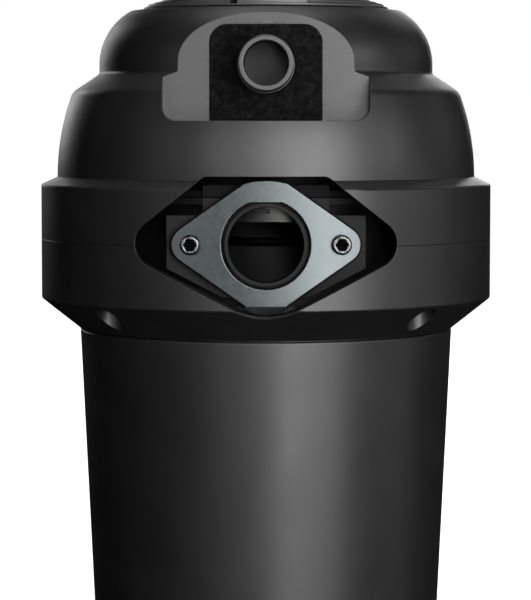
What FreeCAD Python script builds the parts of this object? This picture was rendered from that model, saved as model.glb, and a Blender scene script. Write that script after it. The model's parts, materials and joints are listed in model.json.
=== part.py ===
import FreeCAD, Part
import math
import os
import re
import Sketcher

# Kitchen waste disposer, hung under a sink. Millimetres, +Z up, origin at the centre of
# the base. The drain outlet and the dishwasher inlet face the front, -Y.

SIZES = {
    # outer shells
    "wall": 2.5,
    "belt_radius": 111,
    "belt_top": 226.5,
    "belt_foot": 170.9,
    "seam_level": 200,
    "seam_gap": 0.08,
    "lip_radius": 103,
    "lip_top": 230.2,
    "side_round": 117,
    "side_top_radius": 96.2,
    "side_top": 269.4,
    "shoulder_radius": 93.3,
    "shoulder_top": 273.1,
    "shoulder_round": 7,
    "edge_round": 0.8,
    "dome_radius": 82.2,
    "dome_foot": 280.5,
    "dome_corner": 301,
    "dome_round": 30,
    "crown_radius": 67,
    "crown_top": 311.2,
    "crown_mouth": 46,
    "cone_radius": 92.4,
    "cone_foot": 156,
    "body_top_radius": 92.1,
    "body_top": 155.4,
    "body_base_radius": 84.8,
    "base_round": 4,
    "joggle": 0.3,
    "joggle_height": 6,
    # window in the belt round the drain outlet
    "outlet_level": 200.7,
    "window_top": 232.1,
    "window_half_top": 28.2,
    "window_half_width": 69.9,
    "window_mid": 199,
    "window_end_round": 11.2,
    "window_top_round": 4,
    "window_scoop": 32,
    "window_tangent": 14.6,
    "window_tangent_level": 171.2,
    "window_depth": 84,
    # recess round the dishwasher inlet
    "recess_plane": 71.2,
    "recess_half_width": 48.1,
    "recess_floor": 257.5,
    "recess_round": 6.6,
    "inlet_level": 283.8,
    "inlet_radius": 13,
    "inlet_bore": 10.1,
    "inlet_tip": 101,
    "inlet_root": 62,
    "inlet_seat": 74.2,
    "inlet_seat_radius": 13.5,
    "plug_face": 80,
    "plug_thickness": 2,
    "pad_half_width": 26.5,
    "pad_top": 302.7,
    "pad_round": 8.6,
    "pad_thickness": 2.2,
    # screws that join the shells
    "shell_screw_circle": 103,
    "scoop_radius": 6.8,
    "scoop_top": 176,
    "shell_boss_radius": 5.6,
    "shell_boss_top": 221,
    "shell_screw_radius": 2,
    "shell_screw_end": 214,
    "shell_head_radius": 3.8,
    "shell_head_height": 2.8,
    # drain chamber and outlet
    "chamber_bore": 80.5,
    "chamber_radius": 83.5,
    "chamber_underside": 172,
    "chamber_floor": 175,
    "chamber_top": 222,
    "flange_radius": 92,
    "flange_thickness": 3,
    "hub_radius": 45,
    "hub_top": 198,
    "hub_skin": 3,
    "boss_face": 88,
    "boss_half_width": 46,
    "boss_foot_half_width": 20,
    "boss_shoulder": 189.5,
    "boss_top": 214,
    "boss_upper_half_width": 29.2,
    "boss_crest": 228,
    "outlet_bore": 17.7,
    "outlet_bolt_offset": 34.9,
    "outlet_bolt_radius": 2.5,
    "outlet_bolt_end": 76,
    "gasket_radius": 27,
    "gasket_base": 2.8,
    "gasket_neck": 19.2,
    "gasket_bore": 17.5,
    "gasket_front": 95.6,
    "clamp_thickness": 3.4,
    "clamp_corner": 10.2,
    "clamp_corner_height": 28.5,
    "clamp_crest_round": 36,
    "clamp_point": 50.8,
    "clamp_ear": 9.1,
    "clamp_hole": 20.2,
    "clamp_chord": 19.5,
    "clamp_bevel": 0.7,
    "clamp_lip": 1,
    "clamp_lip_round": 18,
    "clamp_lean": 0.3,
    "outlet_head_radius": 4.6,
    "outlet_head_height": 3,
    "outlet_socket": 5.2,
    # grinding section
    "container_bore": 79,
    "container_skin": 2,
    "container_waist_low": 238,
    "container_waist_high": 252,
    "container_upper_radius": 66,
    "container_shoulder": 294,
    "container_shoulder_round": 12,
    "neck_radius": 44,
    "neck_foot": 308,
    "neck_top": 334,
    "neck_flange_radius": 50,
    "neck_flange_thickness": 3,
    "joint_gap": 0.4,
    "clamp_screw_circle": 88,
    "clamp_screw_radius": 1.9,
    "ring_radius": 78.6,
    "ring_skin": 3,
    "ring_foot": 210.5,
    "ring_top": 236,
    "ring_slot_width": 3,
    "ring_slot_level": 214.6,
    "ring_slot_height": 1.6,
    "turntable_radius": 74.6,
    "turntable_level": 214.5,
    "turntable_thickness": 2.6,
    "impeller_circle": 50,
    "rivet_radius": 4,
    "impeller_gap": 0.3,
    "nut_radius": 9,
    # shaft and motor
    "shaft_end": 8.5,
    "shaft_low_radius": 6,
    "shaft_step": 30.8,
    "shaft_core_radius": 9,
    "shaft_core_end": 150,
    "shaft_high_radius": 8,
    "shaft_neck": 206,
    "shaft_tip_radius": 6,
    "shaft_tip": 228,
    "wrench_flats": 6.35,
    "wrench_depth": 12,
    "running_fit": 0.05,
    "low_bearing_radius": 13,
    "low_bearing_foot": 18,
    "low_bearing_top": 29,
    "high_bearing_radius": 14,
    "high_bearing_foot": 176,
    "high_bearing_top": 190,
    "core_foot": 72,
    "core_top": 124,
    "stator_radius": 70,
    "stator_bore": 35.2,
    "rotor_radius": 34.4,
    "slot_count": 24,
    "bar_count": 20,
    "bar_circle": 28.5,
    "bar_radius": 2.1,
    "frame_skin": 3,
    "frame_floor": 12,
    "frame_deck": 160,
    "through_bolt_circle": 62.5,
    "through_bolt_radius": 2.5,
    # base
    "cover_underside": 5,
    "cover_thickness": 2.5,
    "cover_radius": 77.2,
    "cover_seat": 77.5,
    "cover_screw_circle": 60,
    "cover_screw_radius": 2,
    "wire_entry_radius": 11.1,
    "wire_entry_y": -44,
    "reset_x": -38,
    "reset_radius": 4,
    "reset_tip": 3.5,
    "wiring_x": 44,
    # sink mount
    "mount_foot": 312,
    "mount_radius": 60.2,
    "mount_collar": 45.9,
    "mount_bore": 44.4,
    "mount_top": 329,
    "lug_radius": 57,
    "mount_pad_radius": 59.8,
    "mount_pad_height": 7,
    "rubber_radius": 52,
    "rubber_top": 340,
    "baffle_radius": 41.4,
    "baffle_skin": 2.8,
    "baffle_foot": 322,
    "baffle_hole": 12,
    "baffle_rim": 47,
    "baffle_rim_thickness": 2,
}

FRONT = FreeCAD.Rotation(FreeCAD.Vector(1, 0, 0), 90)

DOC = FreeCAD.newDocument("Disposer")
SHEET = DOC.addObject("Spreadsheet::Sheet", "Sizes")
for line, (alias, number) in enumerate(SIZES.items(), start=1):
    SHEET.set("A%d" % line, str(number))
    SHEET.setAlias("A%d" % line, alias)
DOC.recompute()

NODES = []


def bound(text):
    """The sheet's expression for a formula written with plain aliases."""
    return re.sub(r"[a-z]\w*", lambda word: "Sizes." + word.group()
                  if word.group() in SIZES else word.group(), text)


def value(text):
    """The number that a formula gives now."""
    return float(SHEET.evalExpression(bound(text)))


def bind(thing, prop, text):
    thing.setExpression(prop, bound(text))


def node(thing, label):
    """Name a finished sub-part; it is exported under this name."""
    thing.Label = label
    NODES.append(thing)
    return thing


# ---- outlines ------------------------------------------------------------------------

def arc_edge(centre, radius, start, end):
    """An arc under half a turn, and the numbers of its first and last ends."""
    from_start = (start[0] - centre[0], start[1] - centre[1])
    from_end = (end[0] - centre[0], end[1] - centre[1])
    low = math.atan2(from_start[1], from_start[0])
    high = math.atan2(from_end[1], from_end[0])
    anticlockwise = from_start[0] * from_end[1] - from_start[1] * from_end[0] > 0
    if not anticlockwise:
        low, high = high, low
    if high < low:
        high += 2 * math.pi
    circle = Part.Circle(FreeCAD.Vector(*centre, 0), FreeCAD.Vector(0, 0, 1), radius)
    ends = (1, 2) if anticlockwise else (2, 1)
    return Part.ArcOfCircle(circle, low, high), ends


def round_corner(before, corner, after, radius):
    """Where a rounded corner's arc starts and ends, and its centre."""
    back = FreeCAD.Vector(before[0] - corner[0], before[1] - corner[1], 0).normalize()
    on = FreeCAD.Vector(after[0] - corner[0], after[1] - corner[1], 0).normalize()
    half = back.getAngle(on) / 2
    origin = FreeCAD.Vector(*corner, 0)
    start = origin + back * (radius / math.tan(half))
    end = origin + on * (radius / math.tan(half))
    centre = origin + (back + on).normalize() * (radius / math.sin(half))
    return start[:2], end[:2], centre[:2]


def bulge_centre(start, end, radius):
    """Centre of an arc from start to end that bulges right (left if radius < 0)."""
    chord = FreeCAD.Vector(end[0] - start[0], end[1] - start[1], 0)
    rise = math.sqrt(radius ** 2 - (chord.Length / 2) ** 2)
    left = FreeCAD.Vector(-chord.y, chord.x, 0).normalize()
    middle = FreeCAD.Vector((start[0] + end[0]) / 2, (start[1] + end[1]) / 2, 0)
    centre = middle + left * math.copysign(rise, radius)
    return centre[:2]


def draw(sketch, corners):
    """Draw a closed outline whose corners follow the sheet.

    A corner is (x, y), or (x, y, "round", r), or (x, y, "arc", r) when the edge that
    arrives there is an arc of radius r, bulging to the right of the way it goes.
    """
    count = len(corners)
    points = [(value(corner[0]), value(corner[1])) for corner in corners]
    kinds = [corner[2] if len(corner) > 2 else "sharp" for corner in corners]
    enter = list(points)
    leave = list(points)
    centres = {}
    for i in range(count):
        if kinds[i] == "round":
            radius = value(corners[i][3])
            enter[i], leave[i], centres[i] = round_corner(
                points[i - 1], points[i], points[(i + 1) % count], radius)
    edges = []
    for i in range(count):
        target = (i + 1) % count
        if kinds[target] == "arc":
            radius = value(corners[target][3])
            centre = bulge_centre(leave[i], enter[target], radius)
            curve, ends = arc_edge(centre, abs(radius), leave[i], enter[target])
            edge = sketch.addGeometry(curve, False)
            rule = sketch.addConstraint(Sketcher.Constraint("Radius", edge, abs(radius)))
            sketch.setExpression("Constraints[%d]" % rule, bound("abs(%s)" % corners[target][3]))
        else:
            line = Part.LineSegment(FreeCAD.Vector(*leave[i], 0),
                                    FreeCAD.Vector(*enter[target], 0))
            edge = sketch.addGeometry(line, False)
            ends = (1, 2)
        edges.append((edge, *ends))
    for i in range(count):
        last, _, last_end = edges[i - 1]
        following, first_end, _ = edges[i]
        if kinds[i] == "round":
            curve, ends = arc_edge(centres[i], value(corners[i][3]), enter[i], leave[i])
            arc = sketch.addGeometry(curve, False)
            sketch.addConstraint([
                Sketcher.Constraint("Tangent", last, last_end, arc, ends[0]),
                Sketcher.Constraint("Tangent", arc, ends[1], following, first_end)])
            rule = sketch.addConstraint(
                Sketcher.Constraint("Radius", arc, value(corners[i][3])))
            sketch.setExpression("Constraints[%d]" % rule, bound(corners[i][3]))
            spot = sketch.addGeometry(Part.Point(FreeCAD.Vector(*points[i], 0)), True)
            sketch.addConstraint([Sketcher.Constraint("PointOnObject", spot, 1, last),
                                  Sketcher.Constraint("PointOnObject", spot, 1, following)])
            held = (spot, 1)
        else:
            sketch.addConstraint(
                Sketcher.Constraint("Coincident", last, last_end, following, first_end))
            held = (following, first_end)
        fix(sketch, held, corners[i][:2], points[i])


def fix(sketch, held, formulas, place):
    """Hold a sketch point at the place that two formulas give."""
    for kind, axis, text, number in (("DistanceX", -2, formulas[0], place[0]),
                                     ("DistanceY", -1, formulas[1], place[1])):
        if abs(number) < 1e-9:
            sketch.addConstraint(Sketcher.Constraint("PointOnObject", *held, axis))
            continue
        rule = sketch.addConstraint(Sketcher.Constraint(kind, *held, number))
        sketch.setExpression("Constraints[%d]" % rule, bound(text))


def body_with_sketch(name, role, corners):
    body = DOC.addObject("PartDesign::Body", name)
    sketch = body.newObject("Sketcher::SketchObject", name + "_outline")
    plane = [item for item in body.Origin.OriginFeatures if item.Role == role][0]
    sketch.AttachmentSupport = [(plane, "")]
    sketch.MapMode = "FlatFace"
    draw(sketch, corners)
    return body, sketch


def turned(name, corners):
    """A body of revolution about Z from an outline of (radius, height) corners."""
    body, sketch = body_with_sketch(name, "XZ_Plane", corners)
    feature = body.newObject("PartDesign::Revolution", name + "_turn")
    feature.Profile = sketch
    feature.ReferenceAxis = (sketch, ["V_Axis"])
    feature.Angle = 360
    DOC.recompute()
    return body


def slab(name, corners, foot, height):
    """An upright prism from an outline of (x, y) corners."""
    body, sketch = body_with_sketch(name, "XY_Plane", corners)
    bind(sketch, ".AttachmentOffset.Base.z", foot)
    feature = body.newObject("PartDesign::Pad", name + "_pad")
    feature.Profile = sketch
    bind(feature, "Length", height)
    DOC.recompute()
    return body


def front_prism(name, corners, start, length):
    """A prism from an outline of (x, z) corners, from y = -start towards the front."""
    body, sketch = body_with_sketch(name, "XZ_Plane", corners)
    bind(sketch, ".AttachmentOffset.Base.z", start)
    feature = body.newObject("PartDesign::Pad", name + "_pad")
    feature.Profile = sketch
    bind(feature, "Length", length)
    DOC.recompute()
    return body


# ---- solids and booleans ---------------------------------------------------------------

def place(thing, at, turn=None):
    if turn is not None:
        thing.Placement = FreeCAD.Placement(FreeCAD.Vector(), turn)
    for axis, text in zip("xyz", at):
        bind(thing, ".Placement.Base." + axis, text)
    return thing


def upright(name, radius, foot, height, x="0", y="0"):
    """An upright cylinder."""
    rod = DOC.addObject("Part::Cylinder", name)
    bind(rod, "Radius", radius)
    bind(rod, "Height", height)
    return place(rod, (x, y, foot))


def frontal(name, radius, start, length, x="0", level="outlet_level"):
    """A cylinder along -Y that starts at y = -start."""
    rod = DOC.addObject("Part::Cylinder", name)
    bind(rod, "Radius", radius)
    bind(rod, "Height", length)
    return place(rod, (x, "-(%s)" % start, level), FRONT)


def flared(name, radius, end_radius, start, length, x="0", level="outlet_level"):
    """A cone along -Y that widens from y = -start."""
    cone = DOC.addObject("Part::Cone", name)
    bind(cone, "Radius1", radius)
    bind(cone, "Radius2", end_radius)
    bind(cone, "Height", length)
    return place(cone, (x, "-(%s)" % start, level), FRONT)


def block(name, low, high, angle=0):
    """A box between two corners, turned about Z by an angle in degrees."""
    box = DOC.addObject("Part::Box", name)
    for prop, start, end in zip(("Length", "Width", "Height"), low, high):
        bind(box, prop, "(%s) - (%s)" % (end, start))
    x, y, foot = low
    corner = ("(%s) * cos(%s) - (%s) * sin(%s)" % (x, angle, y, angle),
              "(%s) * sin(%s) + (%s) * cos(%s)" % (x, angle, y, angle), foot)
    return place(box, corner, FreeCAD.Rotation(FreeCAD.Vector(0, 0, 1), angle))


def fuse(name, parts):
    joined = DOC.addObject("Part::MultiFuse", name)
    joined.Shapes = parts
    return joined


def cut(name, base, *tools):
    result = DOC.addObject("Part::Cut", name)
    result.Base = base
    result.Tool = tools[0] if len(tools) == 1 else fuse(name + "_tools", list(tools))
    return result


def group(name, parts):
    """Separate identical solids that share a node."""
    together = DOC.addObject("Part::Compound", name)
    together.Links = parts
    return together


def on_circle(circle, angle):
    """Formulas for x and y on a circle about Z."""
    return "(%s) * cos(%s)" % (circle, angle), "(%s) * sin(%s)" % (circle, angle)


def hexagon(name, flats, foot, height, x="0", y="0"):
    """An upright hexagonal prism, by its size across flats."""
    prism = DOC.addObject("Part::Prism", name)
    prism.Polygon = 6
    bind(prism, "Circumradius", "(%s) / 2 / cos(30)" % flats)
    bind(prism, "Height", height)
    return place(prism, (x, y, foot))


QUARTERS = (45, 135, 225, 315)
THIRDS = (90, 210, 330)
CLAMP_ANGLES = (30, 90, 150, 210, 330)


# ---- outer shells ----------------------------------------------------------------------

def belt_corner(skin):
    """The belt's corners are rounded outside and sharp inside."""
    return ("round", "1.2") if skin == "0" else ()


def upper_outline(skin):
    """Half section of the upper shell's outer face, moved inwards by a skin."""
    foot = "seam_level + seam_gap" if skin == "0" else "seam_level - 5"
    mouth = "crown_mouth" if skin == "0" else "1"
    return [
        (mouth, "crown_top - " + skin),
        (mouth, foot),
        ("belt_radius - " + skin, foot),
        ("belt_radius - " + skin, "belt_top - 0.7 * " + skin, *belt_corner(skin)),
        ("lip_radius - " + skin, "lip_top - 0.7 * " + skin),
        ("side_top_radius - " + skin, "side_top - 0.5 * " + skin, "arc",
         "side_round - " + skin),
        ("shoulder_radius - 0.8 * " + skin, "shoulder_top - 0.75 * " + skin, "arc",
         "shoulder_round - " + skin),
        ("dome_radius - " + skin, "dome_foot - 0.6 * " + skin, "round", "1.5"),
        ("dome_radius - " + skin, "dome_corner - 0.55 * " + skin, "round",
         "dome_round - " + skin),
        ("crown_radius - " + skin, "crown_top - " + skin, "round", "1.5"),
    ]


def lower_outline(skin):
    """Half section of the lower collar's outer face, moved inwards by a skin."""
    top = "seam_level - seam_gap" if skin == "0" else "seam_level + 5"
    foot = "cone_foot" if skin == "0" else "cone_foot - 0.1"
    return [
        ("1", top),
        ("1", foot),
        ("cone_radius - " + skin, foot, "round", "edge_round"),
        ("belt_radius - " + skin, "belt_foot + 0.4 * " + skin, *belt_corner(skin)),
        ("belt_radius - " + skin, top),
    ]


def window_sketch(name):
    """The outline of the window in the belt, in the plane at its inner end."""
    sketch = DOC.addObject("Sketcher::SketchObject", name)
    sketch.Placement = FreeCAD.Placement(FreeCAD.Vector(), FRONT)
    bind(sketch, ".Placement.Base.y", "-window_depth")
    draw(sketch, [
        ("-window_half_top", "window_top", "round", "window_top_round"),
        ("-window_half_width", "window_mid", "round", "window_end_round"),
        ("-window_tangent", "window_tangent_level"),
        ("window_tangent", "window_tangent_level", "arc", "window_scoop"),
        ("window_half_width", "window_mid", "round", "window_end_round"),
        ("window_half_top", "window_top", "round", "window_top_round"),
    ])
    DOC.recompute()
    return sketch


def window_prism(name, skin):
    """The window as a solid, grown by a skin, from its inner end to past the belt."""
    outline = window_sketch(name + "_outline")
    if skin != "0":
        grown = DOC.addObject("Part::Offset2D", name + "_grown")
        grown.Source = outline
        bind(grown, "Value", skin)
        grown.Join = "Arc"
        outline = grown
    prism = DOC.addObject("Part::Extrusion", name)
    prism.Base = outline
    prism.DirMode = "Custom"
    prism.Dir = FreeCAD.Vector(0, -1, 0)
    prism.Solid = True
    bind(prism, "LengthFwd", "belt_radius - window_depth + 10")
    return prism


def recess_prism(name, skin):
    """The recess round the dishwasher inlet as a solid, grown by a skin."""
    side = "(recess_half_width + %s)" % skin
    floor = "recess_floor - " + skin
    return front_prism(name, [
        ("-" + side, "crown_top + 10"),
        ("-" + side, floor, "round", "recess_round + " + skin),
        (side, floor, "round", "recess_round + " + skin),
        (side, "crown_top + 10"),
    ], "recess_plane - " + skin, "belt_radius")


def upper_shell():
    screws = [on_circle("shell_screw_circle", angle) for angle in QUARTERS]
    outer = turned("upper_outer", upper_outline("0"))
    inner = turned("upper_inner", upper_outline("wall"))
    open_cuts = [window_prism("upper_window", "0"), recess_prism("upper_recess", "0")]
    cased = [window_prism("upper_window_case", "wall"),
             recess_prism("upper_recess_case", "wall")]
    posts = [upright("upper_post", "shell_boss_radius", "seam_level",
                     "shell_boss_top - seam_level", x, y) for x, y in screws]
    holes = [upright("upper_pilot", "shell_screw_radius + 0.1", "seam_level",
                     "shell_screw_end - seam_level + 1", x, y) for x, y in screws]
    inlet = frontal("upper_inlet_hole", "inlet_seat_radius + 0.3", "recess_plane - 5",
                    "8", level="inlet_level")
    void = cut("upper_void", inner, *cased, *posts)
    node(cut("upper_shell", outer, *open_cuts, void, inlet, *holes), "upper_shell")


def lower_collar():
    screws = [on_circle("shell_screw_circle", angle) for angle in QUARTERS]
    outer = turned("collar_outer", lower_outline("0"))
    inner = turned("collar_inner", lower_outline("wall"))
    window = window_prism("collar_window", "0")
    cased = [window_prism("collar_window_case", "wall")]
    scoops = []
    for x, y in screws:
        scoops.append(upright("scoop", "scoop_radius", "cone_foot - 1",
                              "scoop_top - cone_foot + 1", x, y))
        cased.append(upright("scoop_case", "scoop_radius + wall - 0.6", "cone_foot - 1",
                             "scoop_top - cone_foot + 1 + wall", x, y))
        cased.append(upright("collar_post", "shell_boss_radius", "scoop_top",
                             "seam_level - scoop_top", x, y))
    holes = [upright("collar_hole", "shell_screw_radius + 0.4", "scoop_top - 1",
                     "seam_level - scoop_top + 2", x, y) for x, y in screws]
    bore = upright("collar_bore", "cone_radius - wall", "cone_foot - 1", "3")
    void = cut("collar_void", inner, *cased)
    node(cut("lower_collar", outer, window, void, bore, *scoops, *holes), "lower_collar")


def shell_screws():
    screws = []
    for angle in QUARTERS:
        x, y = on_circle("shell_screw_circle", angle)
        screws.append(hex_socket_screw(
            "shell_screw", "shell_screw_radius", "shell_screw_end - scoop_top",
            "shell_head_radius", "shell_head_height", "3", (x, y, "scoop_top"), None))
    node(group("shell_screws", screws), "shell_screws")


def hex_socket_screw(name, radius, length, head_radius, head_height, flats, at, turn):
    """A screw whose shank runs up from the seat of its head; it is then turned."""
    screw = turned(name, [
        ("0", "-(%s)" % head_height),
        ("%s - 0.8" % head_radius, "-(%s)" % head_height),
        (head_radius, "0.8 - %s" % head_height),
        (head_radius, "0"),
        (radius, "0"),
        (radius, "%s - 0.5" % length),
        ("%s - 0.5" % radius, length),
        ("0", length),
    ])
    socket = hexagon(name + "_socket", flats, "-(%s) - 1" % head_height, "1 + 2.2")
    return place(cut(name + "_cut", screw, socket), at, turn)


def lower_shell():
    node(turned("lower_shell", [
        ("cover_seat", "0"),
        ("body_base_radius", "0", "round", "base_round"),
        ("body_top_radius", "body_top", "round", "edge_round"),
        ("cone_radius - wall - joggle", "body_top"),
        ("cone_radius - wall - joggle", "body_top + joggle_height"),
        ("body_top_radius - 2 * wall", "body_top + joggle_height"),
        ("body_top_radius - 2 * wall", "body_top - 3"),
        ("body_base_radius - wall", "cover_underside + cover_thickness + 4"),
        ("cover_seat - 4", "cover_underside + cover_thickness + 4"),
        ("cover_seat - 4", "cover_underside + cover_thickness"),
        ("cover_seat", "cover_underside + cover_thickness"),
    ]), "lower_shell")


# ---- drain chamber and outlet ------------------------------------------------------------

def drain_chamber():
    bowl = turned("bowl", [
        ("12", "hub_top"),
        ("hub_radius", "hub_top", "round", "1"),
        ("hub_radius", "chamber_floor", "round", "4"),
        ("chamber_bore", "chamber_floor", "round", "6"),
        ("chamber_bore", "chamber_top"),
        ("flange_radius", "chamber_top"),
        ("flange_radius", "chamber_top - flange_thickness"),
        ("chamber_radius", "chamber_top - flange_thickness"),
        ("chamber_radius", "chamber_underside"),
        ("hub_radius - hub_skin", "chamber_underside"),
        ("hub_radius - hub_skin", "hub_top - hub_skin"),
        ("12", "hub_top - hub_skin"),
    ])
    boss = front_prism("boss", [
        ("-boss_half_width", "boss_top"),
        ("-boss_half_width", "boss_shoulder"),
        ("-boss_foot_half_width", "chamber_underside + 4"),
        ("boss_foot_half_width", "chamber_underside + 4"),
        ("boss_half_width", "boss_shoulder"),
        ("boss_half_width", "boss_top"),
    ], "60", "boss_face - 60")
    upper = block("upper_boss",
                  ("-boss_upper_half_width", "-boss_face", "boss_top - 1"),
                  ("boss_upper_half_width", "-60", "chamber_top"))
    hollow = upright("boss_hollow", "chamber_bore", "chamber_floor - 1",
                     "chamber_top - chamber_floor + 2")
    solid_boss = cut("boss_body", fuse("boss_blank", [boss, upper]), hollow)
    facet = block("front_facet", ("-60", "-100", "chamber_top - 10"),
                  ("60", "-boss_face", "chamber_top + 1"))
    outlet = frontal("outlet_hole", "outlet_bore", "60", "boss_face - 60 + 2")
    cuts = [facet, outlet]
    for side in ("-1", "1"):
        cuts.append(frontal("outlet_bolt_hole", "outlet_bolt_radius",
                            "outlet_bolt_end - 1", "14", side + " * outlet_bolt_offset"))
    for angle in CLAMP_ANGLES:
        x, y = on_circle("clamp_screw_circle", angle)
        cuts.append(upright("chamber_screw_hole", "clamp_screw_radius",
                            "chamber_top - 4", "5", x, y))
    node(cut("drain_chamber", fuse("chamber_blank", [bowl, solid_boss]), *cuts),
         "drain_chamber")


def outlet_gasket():
    base = frontal("gasket_disc", "gasket_radius", "boss_face", "gasket_base")
    neck = frontal("gasket_sleeve", "gasket_neck", "boss_face",
                   "gasket_front - boss_face")
    bore = frontal("gasket_hole", "gasket_bore", "boss_face - 1", "12")
    node(cut("outlet_gasket", fuse("gasket_blank", [base, neck]), bore), "outlet_gasket")


def discharge_flange():
    """The clamp plate: two ears, a crest, and a lip under it that bends back."""
    rear = "boss_face + gasket_base"
    top = "outlet_level + clamp_corner_height"
    foot = "outlet_level - clamp_corner_height"
    blank = front_prism("clamp_blank", [
        ("-clamp_corner", top, "arc", "clamp_crest_round"),
        ("-clamp_point", "outlet_level", "round", "clamp_ear"),
        ("-clamp_corner", foot),
        ("-clamp_corner", foot + " - clamp_lip"),
        ("clamp_corner", foot + " - clamp_lip", "arc", "clamp_lip_round"),
        ("clamp_corner", foot),
        ("clamp_point", "outlet_level", "round", "clamp_ear"),
        ("clamp_corner", top),
    ], rear, "clamp_thickness")
    front = "boss_face + gasket_base + clamp_thickness"
    plate = DOC.addObject("Part::Chamfer", "clamp_bevelled")
    plate.Base = blank
    plate.Edges = [(number, SIZES["clamp_bevel"], SIZES["clamp_bevel"])
                   for number, edge in enumerate(blank.Shape.Edges, start=1)
                   if edge.BoundBox.YMax < 0.01 - value(front)]
    hole = fuse("clamp_opening", [
        frontal("clamp_bore", "clamp_hole", "boss_face", "12"),
        flared("clamp_mouth_bevel", "clamp_hole", "clamp_hole + clamp_bevel + 1",
               front + " - clamp_bevel", "clamp_bevel + 1"),
    ])
    chord = block("clamp_chord", ("-clamp_hole", "-boss_face - 10",
                                  "outlet_level + clamp_chord"),
                  ("clamp_hole", "-boss_face", "outlet_level + clamp_corner_height"))
    cuts = [cut("clamp_mouth", hole, chord)]
    for side in ("-1", "1"):
        cuts.append(frontal("clamp_bolt_hole", "outlet_bolt_radius + 0.3", "boss_face",
                            "12", side + " * outlet_bolt_offset"))
    wedge = slab("clamp_wedge", [
        ("-clamp_corner_height", "0"),
        ("-clamp_corner_height - 8", "8 * clamp_lean"),
        ("-clamp_corner_height - 8", "0"),
    ], "-clamp_hole", "2 * clamp_hole")
    cuts.append(place(wedge, ("0", "-(%s)" % front, "outlet_level"),
                      FreeCAD.Rotation(FreeCAD.Vector(0, 1, 0), -90)))
    node(cut("discharge_flange", plate, *cuts), "discharge_flange")


def flange_screws():
    screws = []
    for side in ("-1", "1"):
        seat = "boss_face + gasket_base + clamp_thickness"
        screws.append(hex_socket_screw(
            "flange_screw", "outlet_bolt_radius - 0.05", seat + " - outlet_bolt_end",
            "outlet_head_radius", "outlet_head_height", "outlet_socket",
            (side + " * outlet_bolt_offset", "-(%s)" % seat, "outlet_level"),
            FreeCAD.Rotation(FreeCAD.Vector(1, 0, 0), -90)))
    node(group("flange_screws", screws), "flange_screws")


# ---- grinding section ----------------------------------------------------------------------

def grind_container():
    skin = "container_skin"
    low = "chamber_top + joint_gap"
    tube = turned("container_blank", [
        ("container_bore", low),
        ("flange_radius", low),
        ("flange_radius", low + " + flange_thickness"),
        ("container_bore + " + skin, low + " + flange_thickness"),
        ("container_bore + " + skin, "container_waist_low"),
        ("container_upper_radius", "container_waist_high"),
        ("container_upper_radius", "container_shoulder + 6", "round",
         "container_shoulder_round"),
        ("neck_radius", "neck_foot"),
        ("neck_radius", "neck_top - neck_flange_thickness"),
        ("neck_flange_radius", "neck_top - neck_flange_thickness"),
        ("neck_flange_radius", "neck_top"),
        ("neck_radius - " + skin, "neck_top"),
        ("neck_radius - " + skin, "neck_foot - 1.2"),
        ("container_upper_radius - " + skin, "container_shoulder + 4.8", "round",
         "container_shoulder_round - " + skin),
        ("container_upper_radius - " + skin, "container_waist_high - 0.5"),
        ("container_bore", "container_waist_low - 0.5"),
    ])
    boss = block("container_boss", ("-boss_upper_half_width", "-boss_face", low),
                 ("boss_upper_half_width", "-60", "boss_crest"))
    hollow = upright("container_boss_hollow", "container_bore", "chamber_top - 1",
                     "boss_crest - chamber_top + 2")
    body = fuse("container_body", [tube, cut("container_boss_body", boss, hollow)])
    facet = block("container_facet", ("-60", "-100", low + " - 1"),
                  ("60", "-boss_face", "container_waist_low"))
    inlet = frontal("container_inlet", "inlet_seat_radius + 0.05", "inlet_root - 10",
                    "30", level="inlet_level")
    holes = []
    for angle in CLAMP_ANGLES:
        x, y = on_circle("clamp_screw_circle", angle)
        holes.append(upright("container_screw_hole", "clamp_screw_radius + 0.3",
                             "chamber_top", "5", x, y))
    node(cut("grind_container", body, facet, inlet, *holes), "grind_container")


def container_gasket():
    node(turned("container_gasket", [
        ("chamber_bore + 1", "chamber_top"),
        ("chamber_radius + 1", "chamber_top"),
        ("chamber_radius + 1", "chamber_top + joint_gap"),
        ("chamber_bore + 1", "chamber_top + joint_gap"),
    ]), "container_gasket")


def container_screws():
    screws = []
    seat = "chamber_top + joint_gap + flange_thickness"
    for angle in CLAMP_ANGLES:
        x, y = on_circle("clamp_screw_circle", angle)
        screws.append(hex_socket_screw(
            "container_screw", "clamp_screw_radius - 0.05", "6.2", "3.4", "2.6", "3",
            (x, y, seat), FreeCAD.Rotation(FreeCAD.Vector(1, 0, 0), 180)))
    node(group("container_screws", screws), "container_screws")


def shredder_ring():
    ring = turned("ring_blank", [
        ("ring_radius - ring_skin", "ring_foot"),
        ("ring_radius", "ring_foot"),
        ("ring_radius", "ring_top"),
        ("ring_radius - ring_skin", "ring_top"),
    ])
    slots = []
    for index in range(24):
        slots.append(block("ring_slot", ("-ring_slot_width / 2", "-ring_radius - 2",
                                         "ring_slot_level"),
                           ("ring_slot_width / 2", "-ring_radius + ring_skin + 2",
                            "ring_slot_level + ring_slot_height"), index * 15))
    for index in range(36):
        slots.append(block("ring_tooth", ("-1.2", "-ring_radius + 1.2",
                                          "turntable_level + turntable_thickness + 1"),
                           ("1.2", "-ring_radius + ring_skin + 2", "ring_top + 1"),
                           index * 10 + 5))
    node(cut("shredder_ring", ring, *slots), "shredder_ring")


def impeller_spots():
    return (("impeller_circle", "0"), ("-impeller_circle", "0"))


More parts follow.
